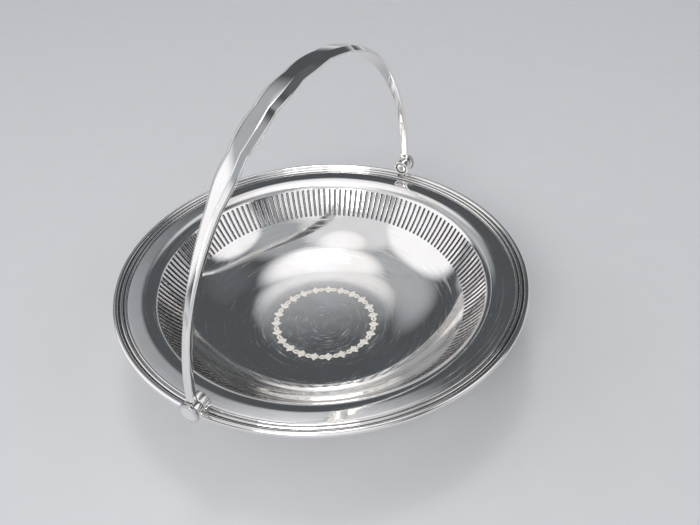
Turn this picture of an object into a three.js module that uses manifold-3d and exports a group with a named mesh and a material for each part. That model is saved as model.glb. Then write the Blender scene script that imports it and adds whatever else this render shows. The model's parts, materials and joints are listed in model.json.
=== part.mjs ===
import * as THREE from 'three';
import { mergeVertices } from 'three/addons/utils/BufferGeometryUtils.js';
import Module from 'manifold-3d';

const wasm = await Module();
wasm.setup();

// Sizes are in millimetres and angles in degrees. +Z is up, the table is z = 0 under the middle
// of the foot, and the hinge line of the swing handle runs along X.

// Dish: one disc of plated sheet, spun over a chuck, with its gallery pierced afterwards
const rim_radius = 127;
const sheet_thickness = 1.1;
const flange_width = 7.2;
const flange_slope = 1.5;
const flange_sink = 0.65;
const shoulder_roll = 16.2;
const shoulder_roll_slope = 33;
const shoulder_bend = 5.75;
const gallery_top_slope = 58;
const gallery_bottom_slope = 47;
const slot_count = 160;
const slot_length = 19.1;
const slot_width = 1.1;
const bowl_bend = 73;
const floor_edge_slope = 3;

// Border: reeded wire soldered round the edge, with the sheet let in behind its outer bead
const edge_bead_radius = 1.85;
const reed_count = 2;
const reed_width = 2.3;
const reed_rise = 0.7;
const border_thickness = 0.5;
const solder_gap = 0.3;

// Foot: a spun collar under the bowl
const foot_lift = 8.4;
const foot_top_radius = 44;
const foot_flare = 6;
const foot_wall = 1.2;
const foot_lip_width = 3.2;
const foot_lip_height = 1.4;

// Hinge: a fixed tube on the border, and a headed pin through it and the eye of the handle
const pin_radius = 2.7;
const pin_clearance = 0.3;
const pin_head_overhang = 0.6;
const pin_head_thickness = 1.8;
const pin_tail_spread = 0.6;
const pin_tail_thickness = 0.6;
const washer_margin = 0.35;
const washer_thickness = 0.5;
const end_play = 0.3;
const recess_clearance = 0.4;
const recess_margin = 0.2;
const knuckle_wall = 1.2;
const lug_length = 5.2;
const lug_setback = 1;
const lug_saddle_width = 7.2;

// Handle: one strap, wide and lobed over the crown, drawn down to square legs with round eyes
const crown_overhang = 0.2;
const crown_width = 13.7;
const crown_thickness = 3.4;
const crown_edge = 1.2;
const crown_bevel = 3.6;
const leg_width = 4.4;
const leg_thickness = 3.8;
const leg_edge = 2.9;
const leg_bevel = 0.9;
const eye_step = 0.2;
const taper_start = 14;
const taper_end = 70;
const lobe_count = 7;
const lobe_pitch = 12.3;
const lobe_depth = 0.9;

// Fineness of the faceted solids
const dish_segments = 80;
const foot_segments = 64;
const hinge_segments = 24;
const bail_segments = 60;
const bead_segments = 7;

const radians = THREE.MathUtils.degToRad;
const full_turn = 2 * Math.PI;

function silver(roughness) {
  return new THREE.MeshStandardMaterial({ color: 0xd4d2cc, metalness: 1, roughness });
}

function piece(name, geometry, roughness) {
  const mesh = new THREE.Mesh(geometry, silver(roughness));
  mesh.name = name;
  return mesh;
}

function indexed_geometry(points, faces) {
  const geometry = new THREE.BufferGeometry();
  geometry.setAttribute('position', new THREE.Float32BufferAttribute(points, 3));
  geometry.setIndex(faces);
  geometry.computeVertexNormals();
  return geometry;
}

function to_solid(geometry) {
  const bare = geometry.clone();
  bare.deleteAttribute('normal');
  bare.deleteAttribute('uv');
  const merged = mergeVertices(bare, 1e-4);
  return new wasm.Manifold(new wasm.Mesh({
    numProp: 3,
    vertProperties: Float32Array.from(merged.attributes.position.array),
    triVerts: Uint32Array.from(merged.index.array),
  }));
}

function to_geometry(solid) {
  const mesh = solid.getMesh();
  return indexed_geometry(mesh.vertProperties, Array.from(mesh.triVerts));
}

// A closed section of [radius, height] points, listed clockwise, turned about Z
function turned_about_z(section, segments) {
  const outline = [...section, section[0]].map(([r, z]) => new THREE.Vector2(r, z));
  return new THREE.LatheGeometry(outline, segments).rotateX(Math.PI / 2);
}

// The same for a piece turned about X, with points of [radius, place along X]
function turned_about_x(section, segments) {
  return turned_about_z(section, segments).rotateY(Math.PI / 2);
}

// Dish profile, followed inwards from the border, as points that also carry their slope
function bend(from, slope_end, radius, steps) {
  const turn = Math.sign(slope_end - from.slope);
  const points = [];
  for (let i = 1; i <= steps; i += 1) {
    const slope = from.slope + (slope_end - from.slope) * i / steps;
    points.push({
      r: from.r - turn * radius * (Math.sin(slope) - Math.sin(from.slope)),
      z: from.z - turn * radius * (Math.cos(from.slope) - Math.cos(slope)),
      slope,
    });
  }
  return points;
}

function underside(point) {
  return {
    r: point.r + Math.sin(point.slope) * sheet_thickness,
    z: point.z - Math.cos(point.slope) * sheet_thickness,
  };
}

const border_width = 2 * edge_bead_radius + reed_count * reed_width;
const border_inner_radius = rim_radius - border_width;
const rebate_radius = rim_radius - 2 * edge_bead_radius - solder_gap;
const sheet_edge_radius = rebate_radius - solder_gap;

// Height of the flange's top above the rim plane, at a radius
function flange_height(r) {
  return (r - border_inner_radius) * Math.tan(radians(flange_slope)) - flange_sink;
}

function flange_point(r) {
  return { r, z: flange_height(r), slope: radians(flange_slope) };
}

const gallery_bend = slot_length / Math.abs(radians(gallery_top_slope - gallery_bottom_slope));
const flange_start = flange_point(sheet_edge_radius);
const flange_end = flange_point(border_inner_radius - flange_width);
const roll = bend(flange_end, radians(shoulder_roll_slope), shoulder_roll, 2);
const shoulder = [...roll, ...bend(roll.at(-1), radians(gallery_top_slope), shoulder_bend, 2)];
const slot_top = shoulder.at(-1);
const slot_bottom = bend(slot_top, radians(gallery_bottom_slope), gallery_bend, 1)[0];
const bowl = bend(slot_bottom, radians(floor_edge_slope), bowl_bend, 6);
const floor_edge = bowl.at(-1);
const floor_bend = floor_edge.r / Math.sin(floor_edge.slope);
const floor_middle = bend(floor_edge, 0, floor_bend, 2);

const floor_centre = floor_middle.at(-1);
const rim_height = foot_lift + sheet_thickness - floor_centre.z;

const pin_tail_radius = pin_radius + pin_tail_spread;
const washer_radius = pin_tail_radius + washer_margin;
const tail_recess_radius = washer_radius + recess_clearance;
const knuckle_radius = tail_recess_radius + knuckle_wall;
const hinge_rise = edge_bead_radius + solder_gap + knuckle_radius;
const hinge_height = rim_height + hinge_rise;

function ring_angles(count) {
  return Array.from({ length: count }, (_, i) => full_turn * i / count);
}

// Angles of the two sides of every slot, one bar after another
function slot_side_angles(radius) {
  const half = Math.asin(slot_width / 2 / radius);
  const angles = [];
  for (let i = 0; i < slot_count; i += 1) {
    angles.push(full_turn * i / slot_count + half, full_turn * (i + 1) / slot_count - half);
  }
  return angles;
}

function dish_body() {
  const points = [];
  const faces = [];

  function ring(point, angles) {
    const first = points.length / 3;
    for (const angle of angles) {
      points.push(point.r * Math.cos(angle), point.r * Math.sin(angle), rim_height + point.z);
    }
    return { angles, at: (i) => first + (i % angles.length) };
  }

  function triangle(a, b, c, upwards) {
    faces.push(...(upwards ? [a, b, c] : [a, c, b]));
  }

  function quad(a, b, c, d, upwards = true) {
    triangle(a, b, c, upwards);
    triangle(a, c, d, upwards);
  }

  function next_angle(strip, i) {
    const count = strip.angles.length;
    return i < count ? strip.angles[(i + 1) % count] + (i + 1 === count ? full_turn : 0) : Infinity;
  }

  // Joins two closed rings that may hold different numbers of points
  function stitch(inner, outer, upwards) {
    let i = 0;
    let j = 0;
    while (i < inner.angles.length || j < outer.angles.length) {
      if (next_angle(inner, i) < next_angle(outer, j)) {
        triangle(inner.at(i), outer.at(j), inner.at(i + 1), upwards);
        i += 1;
      } else {
        triangle(inner.at(i), outer.at(j), outer.at(j + 1), upwards);
        j += 1;
      }
    }
  }

  function skin(shift, upwards) {
    const plain = (point) => ring(shift(point), ring_angles(dish_segments));
    const slotted = (point) => ring(shift(point), slot_side_angles(point.r));
    const centre = ring(shift(floor_centre), [0]);
    const low = slotted(slot_bottom);
    const high = slotted(slot_top);
    const inside = [...[...bowl, ...floor_middle.slice(0, -1)].reverse().map(plain), low];
    const outside = [high, ...[flange_start, flange_end, ...shoulder.slice(0, -1)].reverse().map(plain)];
    for (let i = 0; i < dish_segments; i += 1) {
      triangle(centre.at(0), inside[0].at(i), inside[0].at(i + 1), upwards);
    }
    for (const rings of [inside, outside]) {
      rings.slice(1).forEach((outer, i) => stitch(rings[i], outer, upwards));
    }
    for (let i = 0; i < 2 * slot_count; i += 2) {
      quad(low.at(i), high.at(i), high.at(i + 1), low.at(i + 1), upwards);
    }
    return { low, high, edge: outside.at(-1) };
  }

  const top = skin((point) => point, true);
  const under = skin(underside, false);
  for (let i = 0; i < 2 * slot_count; i += 2) {
    quad(top.high.at(i), top.low.at(i), under.low.at(i), under.high.at(i));
    quad(top.low.at(i + 1), top.high.at(i + 1), under.high.at(i + 1), under.low.at(i + 1));
    quad(top.low.at(i + 2), top.low.at(i + 1), under.low.at(i + 1), under.low.at(i + 2));
    quad(top.high.at(i + 1), top.high.at(i + 2), under.high.at(i + 2), under.high.at(i + 1));
  }
  for (let i = 0; i < dish_segments; i += 1) {
    quad(top.edge.at(i + 1), top.edge.at(i), under.edge.at(i), under.edge.at(i + 1));
  }
  return indexed_geometry(points, faces);
}

// Reeded border: half-round reeds on a thin web, then the round bead that makes the edge
const bead_start = 160;
const bead_end = -120;

function rim_border() {
  const bead_centre = rim_radius - edge_bead_radius;
  const web_top = (r) => flange_height(r) + solder_gap + border_thickness;
  const section = [[border_inner_radius, rim_height + flange_height(border_inner_radius) + solder_gap]];
  for (let i = 0; i < reed_count; i += 1) {
    const start = border_inner_radius + i * reed_width;
    section.push([start, rim_height + web_top(start)]);
    for (const share of [0.3, 0.7]) {
      const r = start + reed_width * share;
      section.push([r, rim_height + web_top(r) + reed_rise]);
    }
  }
  for (let i = 0; i <= bead_segments; i += 1) {
    const angle = radians(bead_start + (bead_end - bead_start) * i / bead_segments);
    const r = bead_centre + edge_bead_radius * Math.cos(angle);
    section.push([r, rim_height + edge_bead_radius * Math.sin(angle)]);
  }
  section.push([rebate_radius, rim_height + flange_height(rebate_radius) - sheet_thickness]);
  section.push([rebate_radius, rim_height + flange_height(rebate_radius) + solder_gap]);
  return turned_about_z(section.reverse(), dish_segments);
}

// Height of the bowl's underside over the table, at a radius inside the gallery
function bowl_underside_height(r) {
  const profile = [slot_bottom, ...bowl, ...floor_middle].map(underside);
  const i = profile.findIndex((point) => point.r <= r);
  const outer = profile[i - 1];
  const inner = profile[i];
  const share = (r - inner.r) / (outer.r - inner.r);
  return rim_height + inner.z + (outer.z - inner.z) * share;
}

function foot_ring() {
  const foot_base_radius = foot_top_radius + foot_flare;
  const top_outer = foot_top_radius + foot_wall;
  const under_bowl = bowl_underside_height(foot_top_radius) - solder_gap;
  const section = [
    [foot_base_radius - foot_lip_width, 0],
    [foot_base_radius, 0],
    [foot_base_radius, foot_lip_height],
    [foot_base_radius - foot_wall, foot_lip_height + foot_wall / 2],
    [top_outer, under_bowl / 2],
    [top_outer, under_bowl],
    [foot_top_radius, under_bowl],
    [foot_top_radius, under_bowl / 2],
    [foot_base_radius - foot_lip_width, foot_lip_height],
  ];
  return turned_about_z(section, foot_segments);
}

// Stations along X of the hinge on the +X side, inwards and outwards from the lug
const lug_outer = rim_radius - lug_setback;
const lug_inner = lug_outer - lug_length;
const tail_inner = lug_inner + recess_margin;
const tail_outer = tail_inner + pin_tail_thickness;
const washer_inner = tail_outer + end_play;
const washer_outer = washer_inner + washer_thickness;
const recess_floor = washer_outer + end_play;
const eye_inner = lug_outer + end_play;
const leg_offset = eye_inner + eye_step + leg_thickness / 2;
const eye_outer = leg_offset + leg_thickness / 2 + eye_step;
const head_inner = eye_outer + end_play;
const head_outer = head_inner + pin_head_thickness;

function round_bar(radius, start, end) {
  return turned_about_x([[0, start], [0, end], [radius, end], [radius, start]].reverse(), hinge_segments);
}

// The lug's saddle follows the top of the border under the tube
function hinge_lug() {
  const reed_top = flange_height(sheet_edge_radius) + solder_gap + border_thickness + reed_rise;
  const saddle_low = reed_top + solder_gap - hinge_rise;
  const saddle_high = edge_bead_radius + solder_gap - hinge_rise;
  const saddle_top = -tail_recess_radius;
  const outline = new THREE.Shape([
    new THREE.Vector2(lug_inner, saddle_low),
    new THREE.Vector2(rebate_radius, saddle_low),
    new THREE.Vector2(rebate_radius, saddle_high),
    new THREE.Vector2(lug_outer, saddle_high),
    new THREE.Vector2(lug_outer, saddle_top),
    new THREE.Vector2(lug_inner, saddle_top),
  ]);
  const saddle = new THREE.ExtrudeGeometry(outline, { depth: lug_saddle_width, bevelEnabled: false });
  saddle.translate(0, 0, -lug_saddle_width / 2).rotateX(Math.PI / 2);
  return to_geometry(to_solid(round_bar(knuckle_radius, lug_inner, lug_outer))
    .add(to_solid(saddle))
    .subtract(to_solid(round_bar(pin_radius + pin_clearance, lug_inner - 1, lug_outer + 1)))
    .subtract(to_solid(round_bar(tail_recess_radius, lug_inner - 1, recess_floor))));
}

function hinge_pin() {
  const pin_head_radius = knuckle_radius + pin_head_overhang;
  const section = [
    [0, tail_inner],
    [0, head_outer],
    [pin_head_radius, head_outer],
    [pin_head_radius, head_inner],
    [pin_radius, head_inner],
    [pin_radius, tail_outer],
    [pin_tail_radius, tail_outer],
    [pin_tail_radius, tail_inner],
  ];
  return turned_about_x(section.reverse(), hinge_segments);
}

function pin_washer() {
  const bore = pin_radius + pin_clearance;
  const section = [
    [bore, washer_inner],
    [bore, washer_outer],
    [washer_radius, washer_outer],
    [washer_radius, washer_inner],
  ];
  return turned_about_x(section.reverse(), hinge_segments);
}

// How far each edge of the strap stands out in lobes, at an angle from the crown
function lobe(from_crown) {
  const lobed_span = lobe_count * lobe_pitch / 2;
  const along = (from_crown + lobed_span) / lobe_pitch;
  return Math.abs(from_crown) < lobed_span ? lobe_depth * Math.abs(Math.sin(Math.PI * along)) : 0;
}

// Six corners of the strap, as [across the strap, outwards from the arch]
function strap_section(from_crown) {
  const drawn = THREE.MathUtils.smoothstep(Math.abs(from_crown), taper_start, taper_end);
  const mix = (leg, crown) => crown + (leg - crown) * drawn;
  const half = mix(leg_width, crown_width) / 2 + lobe(from_crown);
  const thick = mix(leg_thickness, crown_thickness);
  const edge = mix(leg_edge, crown_edge);
  const flat = half - mix(leg_bevel, crown_bevel);
  return [
    [-half, -thick / 2],
    [half, -thick / 2],
    [half, edge - thick / 2],
    [flat, thick / 2],
    [-flat, thick / 2],
    [-half, edge - thick / 2],
  ];
}

// The strap is lofted along an arch from eye to eye, then joined to its eyes and bored
function bail_handle() {
  const bail_rise = rim_radius + crown_overhang;
  const points = [];
  const faces = [];
  const corners = strap_section(0).length;
  for (let i = 0; i <= bail_segments; i += 1) {
    const turn = Math.PI * i / bail_segments;
    const out = new THREE.Vector2(bail_rise * Math.cos(turn), leg_offset * Math.sin(turn)).normalize();
    for (const [across, outwards] of strap_section(90 - THREE.MathUtils.radToDeg(turn))) {
      points.push(
        leg_offset * Math.cos(turn) + out.x * outwards,
        across,
        bail_rise * Math.sin(turn) + out.y * outwards,
      );
    }
  }
  for (let i = 0; i < bail_segments; i += 1) {
    for (let k = 0; k < corners; k += 1) {
      const a = i * corners + k;
      const b = i * corners + (k + 1) % corners;
      faces.push(a, a + corners, b, b, a + corners, b + corners);
    }
  }
  const last = bail_segments * corners;
  for (let k = 1; k < corners - 1; k += 1) {
    faces.push(0, k, k + 1, last, last + k + 1, last + k);
  }
  let solid = to_solid(indexed_geometry(points, faces));
  for (const side of [0, Math.PI]) {
    solid = solid.add(to_solid(round_bar(knuckle_radius, eye_inner, eye_outer).rotateZ(side)));
  }
  for (const side of [0, Math.PI]) {
    const bore = round_bar(pin_radius + pin_clearance, eye_inner - 1, eye_outer + 1);
    solid = solid.subtract(to_solid(bore.rotateZ(side)));
  }
  return to_geometry(solid);
}

const basket = new THREE.Group();
basket.add(piece('dish_body', dish_body(), 0.16));
basket.add(piece('rim_border', rim_border(), 0.2));
basket.add(piece('foot_ring', foot_ring(), 0.24));

const hinge_line = new THREE.Group();
hinge_line.position.z = hinge_height;
for (const [side, turn] of [['right', 0], ['left', Math.PI]]) {
  const hinge = new THREE.Group();
  hinge.rotation.z = turn;
  hinge.add(piece(`hinge_lug_${side}`, hinge_lug(), 0.24));
  hinge.add(piece(`hinge_pin_${side}`, hinge_pin(), 0.28));
  hinge.add(piece(`pin_washer_${side}`, pin_washer(), 0.3));
  hinge_line.add(hinge);
}
hinge_line.add(piece('bail_handle', bail_handle(), 0.2));
basket.add(hinge_line);

export default basket;
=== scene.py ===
import json
from math import asin, cos, degrees, hypot, pi, radians, sin, sqrt

import bmesh
import bpy
from mathutils import Matrix, Vector


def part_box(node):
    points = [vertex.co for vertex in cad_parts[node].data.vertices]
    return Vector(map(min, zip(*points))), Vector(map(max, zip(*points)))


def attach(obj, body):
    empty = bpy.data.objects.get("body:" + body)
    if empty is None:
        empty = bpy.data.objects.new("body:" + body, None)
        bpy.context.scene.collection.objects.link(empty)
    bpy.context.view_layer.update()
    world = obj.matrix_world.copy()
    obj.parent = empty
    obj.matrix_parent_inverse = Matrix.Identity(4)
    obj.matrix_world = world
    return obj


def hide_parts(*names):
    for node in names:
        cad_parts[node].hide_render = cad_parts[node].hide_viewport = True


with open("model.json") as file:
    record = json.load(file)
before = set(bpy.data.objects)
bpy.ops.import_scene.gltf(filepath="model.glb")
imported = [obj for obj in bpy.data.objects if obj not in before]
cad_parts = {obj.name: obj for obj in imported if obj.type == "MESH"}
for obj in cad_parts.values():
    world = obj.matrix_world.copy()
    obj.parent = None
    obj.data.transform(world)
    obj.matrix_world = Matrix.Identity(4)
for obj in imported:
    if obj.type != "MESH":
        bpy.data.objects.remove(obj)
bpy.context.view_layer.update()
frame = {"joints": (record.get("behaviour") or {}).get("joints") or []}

mm = 0.001

# Dish. One disc of nickel silver sheet, spun over a chuck into a flat brim, a rolled shoulder, a
# gallery and a bowl. The upright slots of the gallery are pierced with a punch, which rolls their
# upper edges over, and the whole dish is silver plated and polished by hand.
sheet = 1.1 * mm
slot_count = 160
slot_width = 1.1 * mm
slot_length = 19.1 * mm
slot_corner = 0.3 * mm
punched_roll = 0.42 * mm
back_roll = 0.12 * mm
punch_lean = 0.27 * mm
lip_margin = 0.2 * mm
cell_margin = 0.9 * mm
columns_per_slot = 4
side_steps = 6
lip_turns = (30, 60, 90)
# How dark the lips and walls of each slot are painted: painted shade in the slots, so that they read as dark
# lines.
upper_lip_painted_shade = 0.3
roll_painted_shade = 0.6
wall_painted_shade = 1.0
under_lip_painted_shade = 0.6

brim_run = 11.2 * mm
brim_slope = radians(1.5)
shoulder_roll = 16.2 * mm
roll_slope = radians(33)
shoulder_bend = 5.75 * mm
gallery_top_slope = radians(58)
gallery_bottom_slope = radians(47)
bowl_bend = 73 * mm
floor_slope = radians(3)

dish_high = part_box("dish_body")[1]
edge_radius = dish_high.x - sheet * sin(brim_slope)
edge_height = dish_high.z


def follow(run, slope, slope_end, length):
    """How far in and down a straight or evenly bent stretch goes after a run along it."""
    if slope == slope_end:
        return run * cos(slope), run * sin(slope), slope
    turn = (slope_end - slope) / length
    now = slope + turn * run
    return (sin(now) - sin(slope)) / turn, (cos(slope) - cos(now)) / turn, now


# Each stretch of the profile, from the edge inwards: its length and the slopes at its two ends
stretches = [
    (brim_run, brim_slope, brim_slope),
    (shoulder_roll * (roll_slope - brim_slope), brim_slope, roll_slope),
    (shoulder_bend * (gallery_top_slope - roll_slope), roll_slope, gallery_top_slope),
    (slot_length, gallery_top_slope, gallery_bottom_slope),
    (bowl_bend * (gallery_bottom_slope - floor_slope), gallery_bottom_slope, floor_slope),
]
floor_radius = edge_radius - sum(follow(length, start, end, length)[0] for length, start, end in stretches)
floor_run = floor_radius * floor_slope / sin(floor_slope)
stretches.append((floor_run, floor_slope, 0.0))
gallery_start = sum(stretch[0] for stretch in stretches[:3])
bowl_start = gallery_start + slot_length
floor_start = bowl_start + stretches[4][0]
whole_run = floor_start + floor_run


def profile_at(run):
    """Radius, height and slope of the dish's upper face at a run along it from its edge."""
    radius, height = edge_radius, edge_height
    for length, start, end in stretches:
        inwards, down, slope = follow(min(run, length), start, end, length)
        radius -= inwards
        height -= down
        run -= length
        if run <= 0:
            break
    return radius, height, slope


def evenly(start, end, steps):
    return [start + (end - start) * i / steps for i in range(steps + 1)]


def slot_outline(out):
    """Points round a slot, a distance outside its edge, as across it and along it from its middle."""
    half_width = slot_width / 2 + out
    half_length = slot_length / 2 + out
    corner = slot_corner + out
    shaved = corner * (1 - cos(pi / 4))
    half = [(half_width - shaved, shaved - half_length)]
    half += [(half_width, along) for along in evenly(corner - half_length, half_length - corner, side_steps)]
    half += [(half_width - shaved, half_length - shaved)]
    half += [(across, half_length) for across in (half_width - corner, 0, corner - half_width)]
    return half + [(-across, -along) for across, along in half]


def cell_outline():
    """The same count of points round the sheet that holds one slot, as a share of the pitch and along."""
    half_length = slot_length / 2 + cell_margin
    half = [(0.5, -half_length)]
    half += [(0.5, along) for across, along in slot_outline(0)[1:side_steps + 2]]
    half += [(share, half_length) for share in (0.5, 0.25, 0, -0.25)]
    return half + [(-share, -along) for share, along in half]


def slot_lips():
    """Rings through a slot from the upper face to the under one: how far out, how deep, and how dark its
    painted shade is.
    """
    turns = [radians(turn) for turn in lip_turns]
    upper = [(punched_roll * (1 - sin(turn)), punched_roll * (1 - cos(turn)), roll_painted_shade + turn / pi)
             for turn in turns]
    lower = [(back_roll * (1 - sin(turn)) - punch_lean, sheet - back_roll * (1 - cos(turn)), wall_painted_shade)
             for turn in turns]
    under = back_roll - punch_lean
    start = [(punched_roll + lip_margin, 0, 0.0), (punched_roll, 0, upper_lip_painted_shade)]
    end = [(under, sheet, under_lip_painted_shade), (under + lip_margin, sheet, 0.0)]
    return start + upper + lower[::-1] + end


brim_rings = 2
shoulder_rings = 15
bowl_rings = 18
floor_rings = 8
# Points that are the same to these parts of a metre and of a radian are one vertex
merge_runs = 1e7
merge_angles = 1e6


def dish_mesh():
    """The pierced dish as one closed mesh: plain rings inside and outside, and a cell round each slot."""
    points, faces, shades_and_tarnish, known = [], [], [], {}
    columns = slot_count * columns_per_slot
    pitch = 2 * pi / slot_count
    middle_run = gallery_start + slot_length / 2

    def vertex(run, angle, depth, shade_and_tarnish=0.0):
        turned_to = round(angle * merge_angles) % round(2 * pi * merge_angles)
        key = (round(run * merge_runs), turned_to, round(depth * merge_runs))
        if key not in known:
            known[key] = len(points)
            radius, height, slope = profile_at(run)
            radius += sin(slope) * depth
            points.append((radius * cos(angle), radius * sin(angle), height - cos(slope) * depth))
            shades_and_tarnish.append(shade_and_tarnish)
        return known[key]

    def ring(run, depth):
        return [vertex(run, 2 * pi * (column % columns) / columns, depth)
                for column in range(columns + 1)]

    def join(outer, inner):
        for a, b, c, d in zip(outer, outer[1:], inner[1:], inner):
            faces.append((a, b, c, d))

    outer_runs = evenly(0, brim_run, brim_rings)
    outer_runs += evenly(brim_run, gallery_start - cell_margin, shoulder_rings)[1:]
    inner_runs = evenly(bowl_start + cell_margin, floor_start, bowl_rings)
    inner_runs += evenly(floor_start, whole_run, floor_rings)[1:-1]
    for depth in (0, sheet):
        for runs in (outer_runs, inner_runs):
            rings = [ring(run, depth) for run in runs]
            for outer, inner in zip(rings, rings[1:]):
                join(outer, inner)
        centre = vertex(whole_run, 0, depth)
        for a, b in zip(rings[-1], rings[-1][1:]):
            faces.append((a, b, centre))
    join(ring(0, 0), ring(0, sheet))

    border = cell_outline()
    lips = [(slot_outline(out), depth, shade_and_tarnish) for out, depth, shade_and_tarnish in slot_lips()]
    for slot in range(slot_count):
        middle = (slot + 0.5) * pitch
        loops = [[vertex(middle_run + along, middle + share * pitch, 0) for share, along in border]]
        for outline, depth, shade_and_tarnish in lips:
            loop = []
            for across, along in outline:
                run = middle_run + along
                loop.append(vertex(run, middle + across / profile_at(run)[0], depth, shade_and_tarnish))
            loops.append(loop)
        loops.append([vertex(middle_run + along, middle + share * pitch, sheet)
                      for share, along in border])
        for outer, inner in zip(loops, loops[1:]):
            join(outer + outer[:1], inner + inner[:1])
    return points, faces, shades_and_tarnish


def new_piece(name, mesh_data, body, slot, *nodes):
    """A smooth piece from points, faces and how dark each point is painted. It rides on a body in place of
    its CAD nodes.
    """
    points, faces, shades_and_tarnish = mesh_data
    mesh = bpy.data.meshes.new(name)
    mesh.from_pydata(points, [], faces)
    mesh.attributes.new("tarnish_and_shade", "FLOAT", "POINT").data.foreach_set("value", shades_and_tarnish)
    work = bmesh.new()
    work.from_mesh(mesh)
    bmesh.ops.recalc_face_normals(work, faces=work.faces)
    work.to_mesh(mesh)
    work.free()
    mesh.shade_smooth()
    piece = bpy.data.objects.new(name, mesh)
    bpy.context.scene.collection.objects.link(piece)
    if body:
        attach(piece, body)
    if nodes:
        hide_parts(*nodes)
    return piece


def linear(hex_colour):
    """A colour written as sRGB hex, in the linear values that a shader takes."""
    channels = [int(hex_colour[i:i + 2], 16) / 255 for i in (1, 3, 5)]
    return [c / 12.92 if c <= 0.04045 else ((c + 0.055) / 1.055) ** 2.4 for c in channels] + [1.0]


def add_node(owner, kind, settings=None, output=0, **inputs):
    """Adds a node, sets its properties, and sets or links its inputs, which are named or numbered."""
    node = owner.node_tree.nodes.new(kind)
    for key, value in (settings or {}).items():
        setattr(node, key, value)
    for key, value in inputs.items():
        socket = node.inputs[int(key[1:])] if key[1:].isdigit() else node.inputs[key.replace("_", " ")]
        if isinstance(value, bpy.types.NodeSocket):
            owner.node_tree.links.new(value, socket)
        else:
            socket.default_value = value
    return node.outputs[output]


# Silver plate, buffed and then rubbed for years with a cloth. The eye gets a bright mirror, crossed
# by hairlines and faint wipe marks, with a thin warm bloom of tarnish. It is painted dark brown where
# its points say so: tarnish in grooves and joints, and painted shade in slots, bores and recesses.
silver_clean = linear("#F6F6F6")
silver_bloom = linear("#E9E3D8")
tarnish_and_shade_colour = linear("#352B2A")
wipe_pitch = 1.1 * mm
wipe_depth = 0.004 * mm
wipe_arc = 26
wipe_share = (0.52, 0.74)
smear_size = 9 * mm
hairline_pitch = 0.45 * mm
hairline_length = 14 * mm
hairline_depth = 0.0012 * mm
hairline_share = (0.66, 0.76)
hairline_sets = ((14, 0.2), (67, -0.3), (121, 0.4))
speck_size = 0.7 * mm
speck_share = (0.72, 0.78)
flaw_roughness = 0.09
bloom_size = 30 * mm
bloom_share = (0.36, 0.7)
tarnish_and_shade_pits = (0.3, 0.7)
tarnish_and_shade_share = (0.75, 1.15)
tarnish_and_shade_roughness = 0.3
dent_size = 20 * mm


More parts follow.
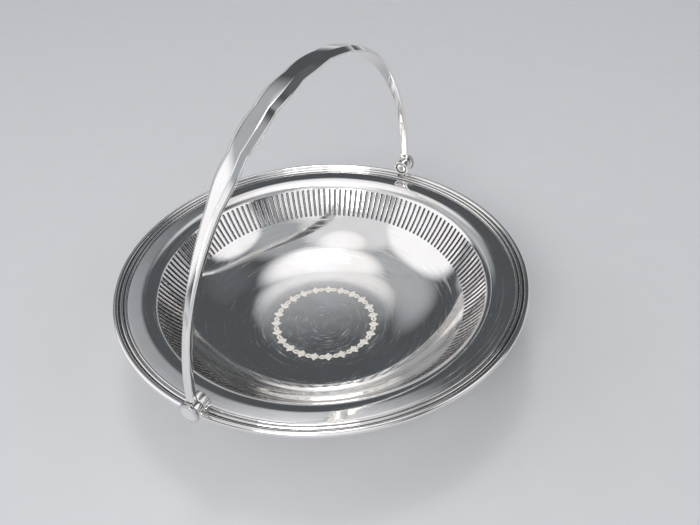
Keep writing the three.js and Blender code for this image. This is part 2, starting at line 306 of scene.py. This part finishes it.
def silver_plate(name, gloss, rubbed_gloss, bloom, hairlines=1.0, dents=0.04 * mm, turned_marks=False):
    """Silver plate with its roughness where clean and where rubbed, and the share of each flaw."""
    material = bpy.data.materials.new(name)
    material.use_nodes = True
    shader = material.node_tree.nodes["Principled BSDF"]
    place = add_node(material, "ShaderNodeTexCoord", output="Object")

    # The cloth follows the turning on round pieces, so that its marks are arcs round the middle. They
    # are drawn about twice as wide as real ones, which would be too fine to show.
    if turned_marks:
        flat = add_node(material, "ShaderNodeVectorMath", {"operation": "MULTIPLY"}, _0=place, _1=(1, 1, 0))
        radius = add_node(material, "ShaderNodeVectorMath", {"operation": "LENGTH"}, output="Value",
                          _0=flat)
        way = add_node(material, "ShaderNodeVectorMath", {"operation": "NORMALIZE"}, _0=flat)
        swept = add_node(material, "ShaderNodeVectorMath", {"operation": "SCALE"}, _0=way,
                         _3=1 / radians(wipe_arc))
        out = add_node(material, "ShaderNodeMath", {"operation": "DIVIDE"}, _0=radius, _1=wipe_pitch)
        lifted = add_node(material, "ShaderNodeCombineXYZ", Z=out)
        wiped_place = add_node(material, "ShaderNodeVectorMath", {"operation": "ADD"}, _0=swept,
                               _1=lifted)
        wiped = add_node(material, "ShaderNodeTexNoise", Vector=wiped_place, Scale=1.0, Detail=3.0,
                         Roughness=0.65)
    else:
        wiped = add_node(material, "ShaderNodeTexNoise", Vector=place, Scale=1 / smear_size, Detail=4.0,
                         Roughness=0.6)

    # Hairlines are drawn several times as wide as real ones, which would be too fine to show.
    lines = 0.0
    for turn, lean in hairline_sets:
        turned_place = add_node(material, "ShaderNodeMapping", Vector=place,
                                Rotation=(lean, lean, radians(turn)),
                                Scale=(1 / hairline_length, 1 / hairline_pitch, 1 / hairline_pitch))
        noise = add_node(material, "ShaderNodeTexNoise", Vector=turned_place, Scale=1.0, Detail=1.0)
        line = add_node(material, "ShaderNodeMapRange", Value=noise, From_Min=hairline_share[0],
                        From_Max=hairline_share[1])
        lines = add_node(material, "ShaderNodeMath", {"operation": "MAXIMUM"}, _0=lines, _1=line)
    lines = add_node(material, "ShaderNodeMath", {"operation": "MULTIPLY"}, _0=lines, _1=hairlines)
    pits = add_node(material, "ShaderNodeTexNoise", Vector=place, Scale=1 / speck_size, Detail=1.0)
    specks = add_node(material, "ShaderNodeMapRange", Value=pits, From_Min=speck_share[0],
                      From_Max=speck_share[1])
    flaws = add_node(material, "ShaderNodeMath", {"operation": "MAXIMUM"}, _0=lines, _1=specks)

    cloud = add_node(material, "ShaderNodeTexNoise", Vector=place, Scale=1 / bloom_size, Detail=4.0)
    bloomed = add_node(material, "ShaderNodeMapRange", Value=cloud, From_Min=bloom_share[0],
                       From_Max=bloom_share[1], To_Max=bloom)
    plate = add_node(material, "ShaderNodeMix", {"data_type": "RGBA"}, output=2, _0=bloomed,
                     _6=silver_clean, _7=silver_bloom)
    # Dark brown where the points ask for it: tarnish in grooves and joints, painted shade in slots, bores and
    # recesses.
    recess = add_node(material, "ShaderNodeAttribute", {"attribute_name": "tarnish_and_shade"}, output="Fac")
    uneven = add_node(material, "ShaderNodeMapRange", Value=pits, From_Min=tarnish_and_shade_pits[0],
                      From_Max=tarnish_and_shade_pits[1], To_Min=tarnish_and_shade_share[0], To_Max=tarnish_and_shade_share[1])
    tarnish_and_shade_amount = add_node(material, "ShaderNodeMath", {"operation": "MULTIPLY", "use_clamp": True},
                       _0=recess, _1=uneven)
    colour = add_node(material, "ShaderNodeMix", {"data_type": "RGBA"}, output=2, _0=tarnish_and_shade_amount, _6=plate,
                      _7=tarnish_and_shade_colour)

    rubbed = add_node(material, "ShaderNodeMapRange", Value=wiped, From_Min=wipe_share[0],
                      From_Max=wipe_share[1], To_Min=gloss, To_Max=rubbed_gloss)
    marked = add_node(material, "ShaderNodeMath", {"operation": "MULTIPLY_ADD"}, _0=flaws,
                      _1=flaw_roughness, _2=rubbed)
    rough = add_node(material, "ShaderNodeMath", {"operation": "MULTIPLY_ADD"}, _0=tarnish_and_shade_amount,
                     _1=tarnish_and_shade_roughness, _2=marked)

    wavy = add_node(material, "ShaderNodeTexNoise", Vector=place, Scale=1 / dent_size, Detail=1.0)
    height = add_node(material, "ShaderNodeMath", {"operation": "MULTIPLY"}, _0=wavy, _1=dents)
    for mark, rise in ((wiped, wipe_depth), (flaws, -hairline_depth)):
        height = add_node(material, "ShaderNodeMath", {"operation": "MULTIPLY_ADD"}, _0=mark, _1=rise,
                          _2=height)
    bumped = add_node(material, "ShaderNodeBump", Height=height, Strength=1.0, Distance=1.0)
    shader.inputs["Metallic"].default_value = 1.0
    for output, socket in ((colour, "Base Color"), (rough, "Roughness"), (bumped, "Normal")):
        material.node_tree.links.new(output, shader.inputs[socket])
    return material


dish = new_piece("plated_dish", dish_mesh(), "basket", "dish_plate", "dish_body")
spun_plate = silver_plate("silver plate, spun and buffed", gloss=0.05, rubbed_gloss=0.3, bloom=0.5,
                          turned_marks=True)
dish.data.materials.append(spun_plate)


# Engraved ring on the floor of the bowl. A chain of pointed husks, each with a looped tail round a
# small dark eye, cut with a graver. The cuts are frosted, so they stay pale on the dark mirror.
ring_repeats = 23
ring_start = radians(-22.1)
ring_middle = 32.2 * mm
cut_rise = 0.04 * mm
cut_shoulder = 0.4 * cut_rise
cut_depth = 0.12 * mm
leaf_tip = 0.04
leaf_fullness = 0.7


def leaf(start, end, width, bow=0.0, steps=8):
    """The two sides of a pointed stroke between two places, bowed to one side, all in millimetres."""
    along = Vector(end) - Vector(start)
    side = Vector((-along.y, along.x)).normalized()
    left, right = [], []
    for share in evenly(0, 1, steps):
        middle = Vector(start) + along * share + side * bow * sin(pi * share)
        half = width / 2 * sin(pi * min(max(share, leaf_tip), 1 - leaf_tip)) ** leaf_fullness
        left.append((middle + side * half) * mm)
        right.append((middle - side * half) * mm)
    return left, right


def ring_strokes():
    """Strokes of one husk, in millimetres round and outwards from its middle."""
    strokes = [leaf((0, 0.2), (0, 3.5), 2.5), leaf((0, -0.2), (0, -3.1), 2.3)]
    strokes.append(leaf((-2.4, 0), (2.6, 0), 1.5))
    for up in (-1, 1):
        strokes.append(leaf((0.2, up * 0.25), (2.3, up * 1.5), 1.5))
        strokes.append(leaf((-0.2, up * 0.25), (-2.0, up * 1.8), 1.5))
        strokes.append(leaf((-1.1, 0), (-6.5, 0), 1.7, up * 1.05))
    return strokes


def capped_tube(rings, around, first=0):
    """Faces over rings of points that follow each other, with a flat face at each end."""
    faces = []
    for start in range(first, first + (rings - 1) * around, around):
        for i in range(around):
            a, b = start + i, start + (i + 1) % around
            faces.append((a, b, b + around, a + around))
    last = first + (rings - 1) * around
    return faces + [tuple(range(first, first + around)), tuple(range(last, last + around))]


def engraved_ring_mesh():
    """Every stroke as a thin ridged sliver that is let into the floor."""
    points, faces = [], []

    def cut(place, angle, lift):
        x, y = ring_middle + place.y, place.x
        height = profile_at(whole_run - hypot(x, y))[1]
        points.append((x * cos(angle) - y * sin(angle), x * sin(angle) + y * cos(angle), height + lift))

    for repeat in range(ring_repeats):
        angle = ring_start + 2 * pi * repeat / ring_repeats
        for left, right in ring_strokes():
            first = len(points)
            for a, b in zip(left, right):
                across = ((a, -cut_depth), (a, cut_shoulder), ((a + b) / 2, cut_rise), (b, cut_shoulder),
                          (b, -cut_depth))
                for place, lift in across:
                    cut(place, angle, lift)
            faces += capped_tube(len(left), len(across), first)
    return points, faces, [0.0] * len(points)


engraving = new_piece("engraved_ring", engraved_ring_mesh(), "basket", "dish_plate")

# Frosted silver, left by the graver's fine cross cuts. It scatters light, so it looks cream white.
frost_grain = 0.25 * mm
frost_depth = 0.04 * mm
frosted = bpy.data.materials.new("silver plate, engraved and frosted")
frosted.use_nodes = True
shader = frosted.node_tree.nodes["Principled BSDF"]
place = add_node(frosted, "ShaderNodeTexCoord", output="Object")
grain = add_node(frosted, "ShaderNodeTexNoise", Vector=place, Scale=1 / frost_grain, Detail=2.0)
frost = add_node(frosted, "ShaderNodeMix", {"data_type": "RGBA"}, output=2, _0=grain, _6=linear("#FFFDF8"),
                 _7=linear("#F6EEDF"))
frosted.node_tree.links.new(frost, shader.inputs["Base Color"])
sparkle = add_node(frosted, "ShaderNodeBump", Height=grain, Strength=1.0, Distance=frost_depth)
frosted.node_tree.links.new(sparkle, shader.inputs["Normal"])
shader.inputs["Metallic"].default_value = 0.2
shader.inputs["Roughness"].default_value = 0.6
engraving.data.materials.append(frosted)


# Border. Drawn wire with two reeds and a round outer bead, bent round the edge of the dish and
# soldered on. Polish doesn't reach the bottom of its grooves, so they stay dark.
border_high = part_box("rim_border")[1]
rim_radius = border_high.x
cad_bead = 1.85 * mm
rim_plane = border_high.z - cad_bead
outer_bead = 1.75 * mm
middle_bead = 0.95 * mm
inner_bead = 0.75 * mm
outer_spacing = 3.4 * mm
inner_spacing = 2.35 * mm
outer_centre = rim_radius - outer_bead
middle_centre = outer_centre - outer_spacing
inner_centre = middle_centre - inner_spacing
middle_lift = 0.5 * mm
inner_lift = 0.3 * mm
solder_sink = 0.1 * mm
back_overlap = 0.4 * mm
border_segments = 480
groove_stain = 0.8
groove_reach = radians(30)


def brim_height(radius):
    return edge_height - (edge_radius - radius) * sin(brim_slope) / cos(brim_slope)


def arc(centre, radius, start, end, steps):
    """Points of an arc in a section, from one angle to another in degrees, with tarnish near its ends."""
    section = []
    for turn in evenly(radians(start), radians(end), steps):
        from_end = min(abs(turn - radians(start)), abs(turn - radians(end)))
        shade_and_tarnish = groove_stain * max(0.0, 1 - from_end / groove_reach)
        section.append((centre[0] + radius * cos(turn), centre[1] + radius * sin(turn), shade_and_tarnish))
    return section


def border_section():
    """Closed section of the border, from the inner bead out over the edge and back under the sheet."""
    inside = inner_centre - inner_bead
    section = [(inside + solder_sink, brim_height(inside) - solder_sink, groove_stain)]
    section += arc((inner_centre, brim_height(inner_centre) + inner_lift), inner_bead, 195, -25, 18)
    section += arc((middle_centre, brim_height(middle_centre) + middle_lift), middle_bead, 200, -20, 20)
    section += arc((outer_centre, rim_plane), outer_bead, 200, -150, 44)
    back = edge_radius - back_overlap
    section.append((back, brim_height(back) - sheet - solder_sink, groove_stain))
    section.append((back, brim_height(back) - solder_sink, 0.0))
    return section


def turned(section, segments):
    """A closed section, as radius, height and how dark it is painted, turned about the upright axis."""
    points, faces, shades_and_tarnish = [], [], []
    count = len(section)
    for i in range(segments):
        angle = 2 * pi * i / segments
        points += [(radius * cos(angle), radius * sin(angle), height) for radius, height, shade_and_tarnish in section]
        shades_and_tarnish += [shade_and_tarnish for radius, height, shade_and_tarnish in section]
        for k in range(count):
            a, b = i * count + k, i * count + (k + 1) % count
            shift = count if i < segments - 1 else -i * count
            faces.append((a, b, b + shift, a + shift))
    return points, faces, shades_and_tarnish


border = new_piece("reeded_border", turned(border_section(), border_segments), "basket", "border_plate",
                   "rim_border")
drawn_plate = silver_plate("silver plate, drawn and polished", gloss=0.05, rubbed_gloss=0.12, bloom=0.5,
                           hairlines=0.4)
border.data.materials.append(drawn_plate)


# Foot. A spun collar, soldered under the bowl, that widens to a flat rolled lip to stand on. It is
# rubbed dull where it slides on the table.
foot_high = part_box("foot_ring")[1]
foot_radius = foot_high.x
foot_wall = 1.2 * mm
foot_top_radius = 44 * mm
foot_lip_width = 3.2 * mm
foot_lip = 0.7 * mm
foot_rest = 0.5 * mm
foot_joint = 0.1 * mm
foot_step = 1.6 * mm
foot_sweep = 0.8
foot_stain = 0.4
stain_fade = 6
foot_sink = 0.35 * mm
foot_top = foot_high.z + foot_sink
foot_segments = 256


def foot_section():
    """Closed section of the foot, from under its lip out, up its swept side and back down inside."""
    waist = foot_top_radius + foot_wall
    step = foot_radius - foot_step
    lip_inside = foot_radius - foot_lip_width
    lip_centre = foot_radius - foot_lip
    lip_top = 2 * foot_lip + foot_joint
    section = [(lip_inside, 0.0, foot_stain), (foot_radius - foot_rest, 0.0, 0.0)]
    for turn in evenly(radians(-50), radians(90), 8):
        section.append((lip_centre + foot_lip * cos(turn), foot_lip + foot_lip * sin(turn), 0.0))
    for share in evenly(0, 1, 14):
        sweep = 1 - sin(share * pi / 2) ** foot_sweep
        shade_and_tarnish = groove_stain * (max(0.0, 1 - share * stain_fade) + max(0.0, 1 - (1 - share) * stain_fade))
        section.append((waist + (step - waist) * sweep, lip_top + (foot_top - lip_top) * share, shade_and_tarnish))
    section.append((foot_top_radius, foot_top, groove_stain))
    section.append((foot_top_radius, foot_top / 2, foot_stain))
    section.append((lip_inside, lip_top, foot_stain))
    return section


foot = new_piece("collar_foot", turned(foot_section(), foot_segments), "basket", "foot_plate", "foot_ring")
worn_plate = silver_plate("silver plate, spun and worn", gloss=0.14, rubbed_gloss=0.28, bloom=0.9,
                          turned_marks=True)
foot.data.materials.append(worn_plate)


# Hinge lugs. Short turned tubes on curved saddles, soldered on the border at both ends of one
# diameter. A recess at the inner end of each takes the riveted end of the pin.
hinge_height = frame["joints"][0]["pos_m"][2]
lug_low, lug_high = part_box("hinge_lug_right")
knuckle = lug_high.z - hinge_height
pin_radius = 2.7 * mm
bore = pin_radius + 0.15 * mm
recess_radius = knuckle - 1.2 * mm
recess_depth = 1.7 * mm
edge_round = 0.35 * mm
corner_share = 0.45
hinge_segments = 96
crisp_edge = radians(50)


def rounded(corners, radius, steps=4):
    """A closed outline with each of its corners rounded as far as its sides allow."""
    outline = []
    for i, corner in enumerate(corners):
        here = Vector(corner[:2])
        before = Vector(corners[i - 1][:2]) - here
        after = Vector(corners[(i + 1) % len(corners)][:2]) - here
        reach = min(radius, before.length * corner_share, after.length * corner_share)
        a, b = here + before.normalized() * reach, here + after.normalized() * reach
        for t in evenly(0, 1, steps):
            point = a * (1 - t) ** 2 + here * 2 * t * (1 - t) + b * t ** 2
            outline.append((point.x, point.y, *corner[2:]))
    return outline


def along_hinge(mesh_data, side):
    """Lays a piece that was turned about the upright axis along the hinge line, at one side."""
    points, faces, shades_and_tarnish = mesh_data
    return [(side * z, side * y, hinge_height + x) for x, y, z in points], faces, shades_and_tarnish


def tube_mesh(side):
    # The bore and the recess are painted dark brown: painted shade inside the tube, where the pin sits.
    section = rounded([
        (bore, lug_low.x + recess_depth, 1.0), (recess_radius, lug_low.x + recess_depth, 0.9),
        (recess_radius, lug_low.x, 0.1), (knuckle, lug_low.x, 0.0), (knuckle, lug_high.x, 0.0),
        (bore, lug_high.x, 1.0),
    ], edge_round)
    return along_hinge(turned(section, hinge_segments), side)


saddle_half = 3.6 * mm
saddle_neck = 1.7 * mm
saddle_sink = 0.35 * mm
saddle_overlap = 0.6 * mm
saddle_inset = 0.25 * mm
saddle_outset = 0.1 * mm
saddle_steps = 8
saddle_stations = 16
waist_curve = 0.55
rise_curve = 1.3


def border_top(radius):
    """Height of the top of the border's outer or middle bead, at a radius."""
    if radius > outer_centre - outer_bead:
        return rim_plane + sqrt(max(0, outer_bead ** 2 - (radius - outer_centre) ** 2))
    middle_height = brim_height(middle_centre) + middle_lift
    return middle_height + sqrt(max(0, middle_bead ** 2 - (radius - middle_centre) ** 2))


def saddle_mesh(side):
    """The curved foot under the tube, as sections across it from its inner to its outer end."""
    points, shades_and_tarnish = [], []
    top = hinge_height - knuckle + saddle_overlap
    stations = evenly(lug_low.x + saddle_inset, lug_high.x - saddle_outset, saddle_stations)
    for x in stations:
        seat = border_top(x) - saddle_sink
        flank = [(saddle_half + (saddle_neck - saddle_half) * share ** waist_curve,
                  seat + (top - seat) * share ** rise_curve,
                  groove_stain * (1 - share) ** 2) for share in evenly(0, 1, saddle_steps)]
        outline = flank + [(-y, z, shade_and_tarnish) for y, z, shade_and_tarnish in flank[::-1]]
        points += [(side * x, side * y, z) for y, z, shade_and_tarnish in outline]
        shades_and_tarnish += [shade_and_tarnish for y, z, shade_and_tarnish in outline]
    return points, capped_tube(len(stations), len(outline)), shades_and_tarnish


def fuse(piece, *parts):
    """Joins further closed meshes to a piece, so that they are one solid with crisp inner corners."""
    for part in parts:
        other = new_piece("joined_part", part, None, None)
        union = piece.modifiers.new("join", "BOOLEAN")
        union.operation = "UNION"
        union.solver = "EXACT"
        union.object = other
        evaluated = piece.evaluated_get(bpy.context.evaluated_depsgraph_get())
        joined = bpy.data.meshes.new_from_object(evaluated)
        piece.modifiers.clear()
        piece.data = joined
        bpy.data.objects.remove(other)
    piece.data.set_sharp_from_angle(angle=crisp_edge)


hinge_plate = silver_plate("silver plate, turned and handled", gloss=0.16, rubbed_gloss=0.3, bloom=0.5,
                           hairlines=0.5, dents=0.02 * mm)
for side, word in ((1, "right"), (-1, "left")):
    lug = new_piece(f"hinge_tube_{word}", tube_mesh(side), "basket", "hinge_plate", f"hinge_lug_{word}")
    fuse(lug, saddle_mesh(side))
    lug.data.materials.append(hinge_plate)


# Handle. One forged strap, wide over the crown with bevelled and lobed edges, drawn down to square
# legs. Each leg ends in a small collar and a round eye.
bail_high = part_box("bail_handle")[1]
eye_length = 4.2 * mm
leg_offset = bail_high.x - eye_length / 2
crown_thickness = 3.4 * mm
bail_rise = bail_high.z - hinge_height - crown_thickness / 2
crown_width = 13.7 * mm
crown_edge = 1.2 * mm
crown_bevel = 3.6 * mm
leg_width = 4.4 * mm
leg_thickness = 3.8 * mm
leg_edge = 2.9 * mm
leg_bevel = 0.9 * mm
taper_start = 14
taper_end = 70
lobe_count = 7
lobe_pitch = 12.3
lobe_depth = 0.9 * mm
strap_round = 0.45 * mm
collar_height = 6.9 * mm
collar_length = 0.9 * mm
collar_swell = 0.45 * mm
strap_steps = 360


def smooth_share(value, start, end):
    share = min(max((value - start) / (end - start), 0), 1)
    return share * share * (3 - 2 * share)


def strap_section(from_crown, height):
    """Outline of the strap at an angle from its crown in degrees, as across it and outwards."""
    drawn = smooth_share(abs(from_crown), taper_start, taper_end)
    half = (crown_width + (leg_width - crown_width) * drawn) / 2
    thick = crown_thickness + (leg_thickness - crown_thickness) * drawn
    edge = crown_edge + (leg_edge - crown_edge) * drawn
    span = lobe_count * lobe_pitch / 2
    if abs(from_crown) < span:
        half += lobe_depth * abs(sin(pi * (from_crown + span) / lobe_pitch))
    flat = half - crown_bevel - (leg_bevel - crown_bevel) * drawn
    swell = collar_swell * max(0, 1 - ((height - collar_height) / collar_length) ** 2)
    half += swell
    flat += swell
    thick += swell
    return rounded([
        (-half, -thick / 2), (half, -thick / 2), (half, edge - thick / 2),
        (flat, thick / 2), (-flat, thick / 2), (-half, edge - thick / 2),
    ], strap_round)


def strap_mesh():
    """The strap, followed along its arch from inside one eye to inside the other."""
    points = []
    foot_turn = asin((bore + knuckle) / 2 / bail_rise)
    for turn in evenly(foot_turn, pi - foot_turn, strap_steps):
        height = bail_rise * sin(turn)
        out = Vector((bail_rise * cos(turn), leg_offset * sin(turn))).normalized()
        section = strap_section(90 - degrees(turn), height)
        for across, outwards in section:
            points.append((leg_offset * cos(turn) + out.x * outwards, across,
                           hinge_height + height + out.y * outwards))
    return points, capped_tube(strap_steps + 1, len(section)), [0.0] * len(points)


def eye_mesh(side):
    inner, outer = leg_offset - eye_length / 2, leg_offset + eye_length / 2
    # The bore is painted dark brown: painted shade inside the eye.
    section = rounded([
        (bore, inner, 1.0), (knuckle, inner, 0.0), (knuckle, outer, 0.0), (bore, outer, 1.0),
    ], edge_round)
    return along_hinge(turned(section, hinge_segments), side)


handle = new_piece("swing_handle", strap_mesh(), "swing_handle", "handle_plate", "bail_handle")
fuse(handle, eye_mesh(1), eye_mesh(-1))
forged_plate = silver_plate("silver plate, forged and handled", gloss=0.06, rubbed_gloss=0.13, bloom=0.5,
                            dents=0.1 * mm)
handle.data.materials.append(forged_plate)


# Pins and washers. Each pin is turned with a wide flat head outside the eye, and is riveted over a
# small washer in the recess of the lug, so that it turns with the handle.
pin_low, pin_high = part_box("hinge_pin_right")
washer_low, washer_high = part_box("pin_washer_right")
head_radius = pin_high.z - hinge_height
head_thickness = 1.8 * mm
head_dome = 0.12 * mm
head_round = 0.4 * mm
tail_radius = 3.3 * mm
tail_thickness = 0.6 * mm
tail_round = 0.3 * mm
tail_rise = 0.4 * mm
tail_shoulder = 0.15 * mm
tail_dome = 0.06 * mm
dome_share = 0.6
washer_radius = washer_high.z - hinge_height
washer_round = 0.12 * mm


def pin_section():
    """Half section of the pin from its riveted end to its head, as radius, place and painted shade."""
    end = pin_low.x
    tail = end + tail_thickness
    head = pin_high.x - head_thickness
    brow = pin_high.x - head_dome
    # The riveted end, the shank and the rim of the head are painted dark brown: painted shade in the recess,
    # in the bore and between the head and the eye.
    riveted = [(0, end, 0.1), (tail_radius * dome_share, end + tail_dome, 0.1),
               (tail_radius - tail_round, end + tail_shoulder, 0.2), (tail_radius, end + tail_rise, 0.7),
               (tail_radius, tail, 1.0)]
    shank = [(pin_radius, tail, 1.0), (pin_radius, head, 1.0)]
    corners = [(pin_radius, head, 0.5), (head_radius, head, 0.5), (head_radius, brow, 0.3), (0, brow, 0.0)]
    outline = rounded(corners, head_round)
    per_corner = len(outline) // len(corners)
    rim = outline[per_corner:3 * per_corner]
    face = [(head_radius * dome_share, brow + head_dome * dome_share, 0.0), (0, pin_high.x, 0.0)]
    return riveted + shank + rim + face


def turned_solid(section, segments, side):
    """A section that starts and ends on the hinge line, turned about it."""
    ends = [section[0], section[-1]]
    points = [(side * x, 0, hinge_height) for radius, x, shade_and_tarnish in ends]
    shades_and_tarnish = [shade_and_tarnish for radius, x, shade_and_tarnish in ends]
    faces = []
    middle = section[1:-1]
    count = len(middle)
    for i in range(segments):
        angle = 2 * pi * i / segments
        points += [(side * x, side * radius * sin(angle), hinge_height + radius * cos(angle))
                   for radius, x, shade_and_tarnish in middle]
        shades_and_tarnish += [shade_and_tarnish for radius, x, shade_and_tarnish in middle]
        here, following = 2 + i * count, 2 + (i + 1) % segments * count
        faces.append((0, following, here))
        faces.append((1, here + count - 1, following + count - 1))
        for k in range(count - 1):
            faces.append((here + k, following + k, following + k + 1, here + k + 1))
    return points, faces, shades_and_tarnish


def washer_section():
    # The washer is painted dark brown all over: painted shade in the recess of the lug.
    return rounded([
        (pin_radius, washer_low.x, 0.8), (washer_radius, washer_low.x, 0.6),
        (washer_radius, washer_high.x, 1.0), (pin_radius, washer_high.x, 1.0),
    ], washer_round)


for side, word in ((1, "right"), (-1, "left")):
    pin_mesh = turned_solid(pin_section(), hinge_segments, side)
    pin = new_piece(f"headed_pin_{word}", pin_mesh, "swing_handle", "pin_plate", f"hinge_pin_{word}")
    washer_mesh = along_hinge(turned(washer_section(), hinge_segments), side)
    washer = new_piece(f"rivet_washer_{word}", washer_mesh, "swing_handle", "pin_plate", f"pin_washer_{word}")
    for piece in (pin, washer):
        piece.data.set_sharp_from_angle(angle=crisp_edge)
        piece.data.materials.append(hinge_plate)


# Studio. A plain pale floor, with a small soft lamp overhead and a wider one beside the camera. The
# room is pale near the floor and dim above, with large soft lights that the silver mirrors.
floor_radius_shown = 6.0
floor_sides = 96
floor_mesh = bpy.data.meshes.new("studio_floor")
floor_mesh.from_pydata([(floor_radius_shown * cos(angle), floor_radius_shown * sin(angle), 0)
                        for angle in evenly(0, 2 * pi, floor_sides)[:-1]], [], [tuple(range(floor_sides))])
floor = bpy.data.objects.new("studio_floor", floor_mesh)
bpy.context.scene.collection.objects.link(floor)

# Matt paper, rolled smooth. It gives the eye an even pale ground with no shine of its own.
fibre_size = 25 * mm
paper = bpy.data.materials.new("matt paper, rolled smooth")
paper.use_nodes = True
shader = paper.node_tree.nodes["Principled BSDF"]
place = add_node(paper, "ShaderNodeTexCoord", output="Object")
fibre = add_node(paper, "ShaderNodeTexNoise", Vector=place, Scale=1 / fibre_size, Detail=3.0)
pulp = add_node(paper, "ShaderNodeMix", {"data_type": "RGBA"}, output=2, _0=fibre, _6=linear("#D8D9DB"),
                _7=linear("#DCDDDF"))
paper.node_tree.links.new(pulp, shader.inputs["Base Color"])
shader.inputs["Roughness"].default_value = 0.8
shader.inputs["Specular IOR Level"].default_value = 0.2
floor.data.materials.append(paper)

camera_turn = radians(-61.26)


def seen_direction(across, up):
    """A direction by its angle from the back of the room to the camera's left, and its height."""
    level = Matrix.Rotation(camera_turn + pi / 2 + radians(across), 3, "Z") @ Vector((1, 0, 0))
    return level * cos(radians(up)) + Vector((0, 0, sin(radians(up))))


# Each lamp: its name, direction, distance, size and the brightness of its face
lamps = [
    ("overhead_lamp", 10, 80, 1.5, 0.3, 7.0),
    ("camera_side_lamp", 160, 36, 1.6, 0.6, 7.0),
]
for name, across, up, distance, size, brightness in lamps:
    lamp = bpy.data.lights.new(name, "AREA")
    lamp.shape = "SQUARE"
    lamp.size = size
    lamp.energy = brightness * pi * size * size
    panel = bpy.data.objects.new(name, lamp)
    bpy.context.scene.collection.objects.link(panel)
    aim = seen_direction(across, up)
    stance = aim.to_track_quat("Z", "Y").to_matrix().to_4x4()
    panel.matrix_world = Matrix.Translation(aim * distance) @ stance
    panel.visible_camera = False

# Each soft light of the room: its direction, how far it is even, where it ends, and its brightness
room_lights = [
    (8, 76, 12, 25, 1.1),
    (130, 76, 4, 20, 1.1),
    (7, 57, 2, 17, 0.95),
    (36, 48, 0, 27, 0.5),
    (62, 56, 8, 22, 0.5),
    (50, 5, 5, 12, 0.6),
    (88, 28, 24, 36, 1.1),
    (145, 58, 22, 40, 0.8),
    (178, 30, 20, 42, 1.0),
    (-102, 34, 17, 24, 1.05),
    (-130, 64, 12, 30, 0.45),
    (-55, 9, 7, 17, 0.6),
    (-56, 46, 0, 30, 0.15),
]
backdrop_brightness = 0.75
backdrop_height = 0.2
room_brightness = 0.11
world = bpy.data.worlds.new("dim studio with soft lights")
world.use_nodes = True
bpy.context.scene.world = world
direction = add_node(world, "ShaderNodeTexCoord", output="Generated")
rise = add_node(world, "ShaderNodeSeparateXYZ", output="Z", Vector=direction)
lit = add_node(world, "ShaderNodeMapRange", {"interpolation_type": "SMOOTHSTEP"}, Value=rise, From_Min=0.0,
               From_Max=backdrop_height, To_Min=backdrop_brightness, To_Max=room_brightness)
for across, up, even, gone, brightness in room_lights:
    facing = add_node(world, "ShaderNodeVectorMath", {"operation": "DOT_PRODUCT"}, output="Value",
                      _0=direction, _1=seen_direction(across, up))
    glow = add_node(world, "ShaderNodeMapRange", {"interpolation_type": "SMOOTHSTEP"}, Value=facing,
                    From_Min=cos(radians(gone)), From_Max=cos(radians(even)), To_Max=brightness)
    lit = add_node(world, "ShaderNodeMath", {"operation": "MAXIMUM"}, _0=lit, _1=glow)
tint = add_node(world, "ShaderNodeMix", {"data_type": "RGBA"}, output=2, _0=lit, _6=linear("#DCE5EE"),
                _7=linear("#FAF9FC"))
world_shader = world.node_tree.nodes["Background"]
world.node_tree.links.new(tint, world_shader.inputs["Color"])
world.node_tree.links.new(lit, world_shader.inputs["Strength"])

# Camera. It stands where the photograph was taken from: out from the rim, above it and a little to
# one side. It looks down at the bowl and leans over slightly, as a camera held in the hand does.
camera_aside = 18.0 * mm
camera_back = 335.0 * mm
camera_above_rim = 272.8 * mm
camera_pitch = radians(38.61)
camera_roll = radians(-2.21)
camera_data = bpy.data.cameras.new("photo_camera")
camera_data.sensor_width = 36
camera_data.lens = 35.57
camera = bpy.data.objects.new("photo_camera", camera_data)
bpy.context.scene.collection.objects.link(camera)
camera.matrix_world = (
    Matrix.Rotation(camera_turn, 4, "Z")
    @ Matrix.Translation((camera_aside, -camera_back, rim_plane + camera_above_rim))
    @ Matrix.Rotation(pi / 2 - camera_pitch, 4, "X")
    @ Matrix.Rotation(camera_roll, 4, "Z")
)
bpy.context.scene.camera = camera
bpy.context.scene.view_settings.view_transform = "Standard"
